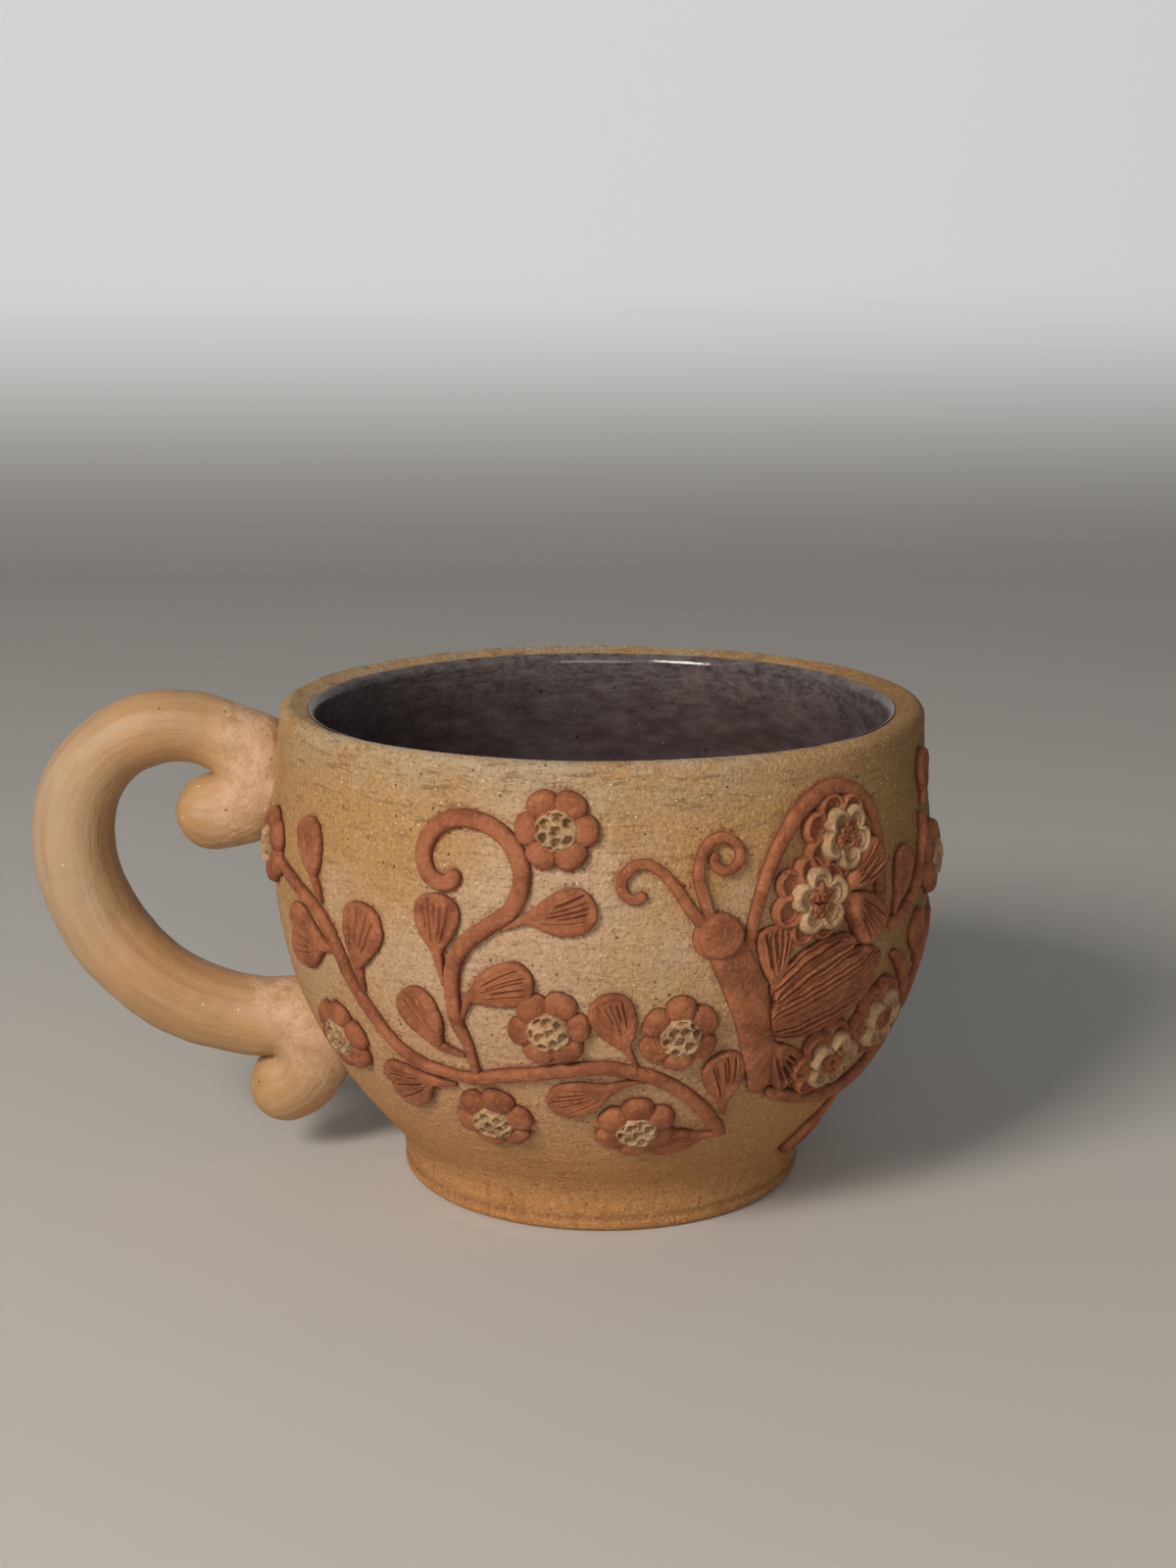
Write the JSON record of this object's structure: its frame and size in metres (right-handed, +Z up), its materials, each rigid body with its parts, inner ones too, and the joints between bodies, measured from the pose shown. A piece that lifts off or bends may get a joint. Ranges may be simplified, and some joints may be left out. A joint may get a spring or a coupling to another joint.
{
  "type": "mug",
  "caption": "Hand-thrown stoneware mug with a coiled scroll handle and relief of vines, leaves, pellet flowers and a butterfly; glazed inside.",
  "frame": {"origin": "centre of the foot ring's ground plane, on the bowl's axis", "axes": "+Z up along the bowl's axis; the decorated front faces -Y; the handle points along -X"},
  "size_m": [0.1426, 0.106, 0.0771],
  "materials": {
    "tan_clay": "bare speckled ochre stoneware, matt, with fine throwing lines",
    "smooth_clay": "bare tan stoneware, burnished smooth",
    "red_clay": "bare red-brown terracotta slip clay, matt, with tooled strokes",
    "cream_clay": "bare cream clay, matt",
    "dark_glaze": "glossy dark brown glaze, mottled"
  },
  "bodies": {
    "root": {"bowl": "tan_clay", "glaze_lining": "dark_glaze", "handle": "smooth_clay", "left_vine": "red_clay", "scroll_vine": "red_clay", "right_vine": "red_clay", "leaf_1": "red_clay", "leaf_2": "red_clay", "leaf_3": "red_clay", "leaf_4": "red_clay", "leaf_5": "red_clay", "leaf_6": "red_clay", "leaf_7": "red_clay", "leaf_8": "red_clay", "leaf_9": "red_clay", "leaf_10": "red_clay", "leaf_11": "red_clay", "leaf_12": "red_clay", "flower_1_petals": "red_clay", "flower_2_petals": "red_clay", "flower_3_petals": "red_clay", "flower_4_petals": "red_clay", "flower_5_petals": "red_clay", "flower_6_petals": "red_clay", "flower_7_petals": "red_clay", "flower_1_centre": "cream_clay", "flower_2_centre": "cream_clay", "flower_3_centre": "cream_clay", "flower_4_centre": "cream_clay", "flower_5_centre": "cream_clay", "flower_6_centre": "cream_clay", "flower_7_centre": "cream_clay", "butterfly_head": "red_clay", "butterfly_body": "red_clay", "left_feeler": "red_clay", "right_feeler": "red_clay", "upper_wing_rim": "red_clay", "lower_wing_rim": "red_clay", "upper_wing_pad": "red_clay", "lower_wing_pad": "red_clay", "wing_leaf_1": "red_clay", "wing_leaf_2": "red_clay", "wing_leaf_3": "red_clay", "wing_leaf_4": "red_clay", "wing_leaf_5": "red_clay", "wing_flower_1_frill": "red_clay", "wing_flower_2_frill": "red_clay", "wing_flower_3_frill": "red_clay", "wing_flower_4_frill": "red_clay", "wing_flower_1_blossom": "cream_clay", "wing_flower_2_blossom": "cream_clay", "wing_flower_3_blossom": "cream_clay", "wing_flower_4_blossom": "cream_clay", "wing_flower_hearts": "red_clay", "back_vines": "red_clay", "back_leaves": "red_clay", "back_flower_petals": "red_clay", "back_flower_centres": "cream_clay"}
  },
  "joints": []
}
